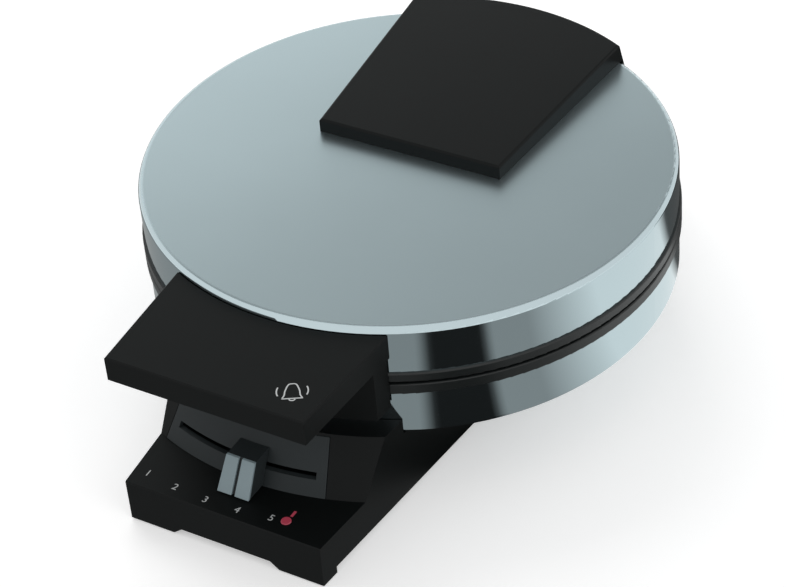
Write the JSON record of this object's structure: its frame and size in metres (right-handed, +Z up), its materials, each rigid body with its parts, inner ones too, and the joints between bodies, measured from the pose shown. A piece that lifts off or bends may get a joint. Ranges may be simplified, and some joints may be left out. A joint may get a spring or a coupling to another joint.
{
  "type": "heart waffle iron",
  "caption": "Round countertop waffle iron with a hinged steel lid, heart-shaped baking plates, a flat front handle and an arc slider for browning.",
  "frame": {"origin": "on the floor plane at the middle of the outline box seen from above, 13.7 mm in front of the round body's axis", "axes": "+Z up, -Y to the front where the handle and the control are, +Y to the hinge, +X to the right seen from the front"},
  "size_m": [0.232, 0.2974, 0.0995],
  "materials": {
    "brushed_steel": "satin brushed top and polished band",
    "black_trim": "satin heat-proof plastic",
    "black_plastic": "fine moulded satin",
    "grey_plastic": "satin",
    "pale_grey_plastic": "satin",
    "coated_plate": "non-stick coating on cast aluminium",
    "heater_steel": "annealed tube",
    "shield_aluminium": "mill finish",
    "zinc_steel": "zinc plated",
    "pin_steel": "ground",
    "foot_rubber": "matt",
    "ceramic_white": "unglazed ceramic",
    "board_green": "board lacquer",
    "lamp_clear": "clear bulb",
    "red_lens": "translucent red"
  },
  "bodies": {
    "base": {"lower_shell": "brushed_steel", "lower_trim_ring": "black_trim", "lower_baking_plate": "coated_plate", "lower_heating_element": "heater_steel", "lower_heat_shield": "shield_aluminium", "lower_shield_screws": "zinc_steel", "lower_flange_screws": "zinc_steel", "base_chassis": "black_plastic", "bottom_cover": "black_plastic", "bottom_cover_screws": "zinc_steel", "rubber_feet": "foot_rubber", "shell_screws": "zinc_steel", "shell_nuts": "zinc_steel", "hinge_pin": "pin_steel", "hinge_pin_clip": "pin_steel", "control_panel": "grey_plastic", "thermostat": "ceramic_white", "thermostat_bracket": "zinc_steel", "thermal_fuse": "shield_aluminium", "fuse_clip": "zinc_steel", "signal_board": "board_green", "signal_buzzer": "black_plastic", "pilot_lamp": "lamp_clear", "pilot_lamp_lens": "red_lens", "cord_bush": "foot_rubber", "terminal_block": "ceramic_white"},
    "lid": {"lid_shell": "brushed_steel", "upper_trim_ring": "black_trim", "upper_baking_plate": "coated_plate", "upper_heating_element": "heater_steel", "upper_heat_shield": "shield_aluminium", "upper_shield_screws": "zinc_steel", "upper_flange_screws": "zinc_steel", "lid_handle": "black_plastic", "handle_screws": "zinc_steel", "rear_cover": "black_plastic", "rear_cover_screws": "zinc_steel", "lid_hinge_block": "black_plastic", "lid_hinge_screws": "zinc_steel"},
    "slider": {"slider_lever": "zinc_steel", "slider_shaft": "pin_steel", "slider_knob": "grey_plastic", "slider_inlay": "pale_grey_plastic"}
  },
  "joints": [
    {"name": "lid_hinge", "type": "hinge", "parent": "base", "child": "lid", "pos_m": [0, 0.1377, 0.0628], "axis": [-1, 0, 0], "range_deg": [0, 100]},
    {"name": "browning_slider", "type": "hinge", "parent": "base", "child": "slider", "pos_m": [0, 0.0037, 0.0283], "axis": [0, 0, 1], "range_deg": [-15, 10]}
  ]
}
